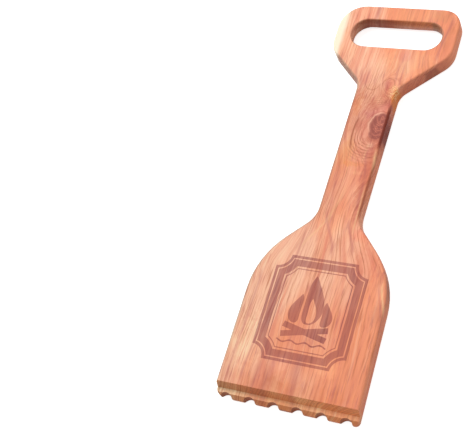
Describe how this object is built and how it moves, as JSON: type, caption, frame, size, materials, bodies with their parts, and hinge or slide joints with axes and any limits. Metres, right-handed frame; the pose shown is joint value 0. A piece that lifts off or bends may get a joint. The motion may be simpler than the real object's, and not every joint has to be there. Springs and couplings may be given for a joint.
{
  "type": "grill scraper",
  "caption": "Wooden grill scraper cut from one cedar board, with a waisted neck, a hand slot in the grip and a stepped scraping edge notched for grill bars.",
  "frame": {"origin": "on the flat back, below the middle of the board's box, lying on its back", "axes": "+Y from the scraping edge to the grip, +Z out of the front face, +X to the right when the front is seen with the grip up"},
  "size_m": [0.1417, 0.448, 0.018],
  "materials": {
    "cedar": "planed and sanded, without varnish"
  },
  "bodies": {
    "root": {"scraper": "cedar"}
  },
  "joints": []
}
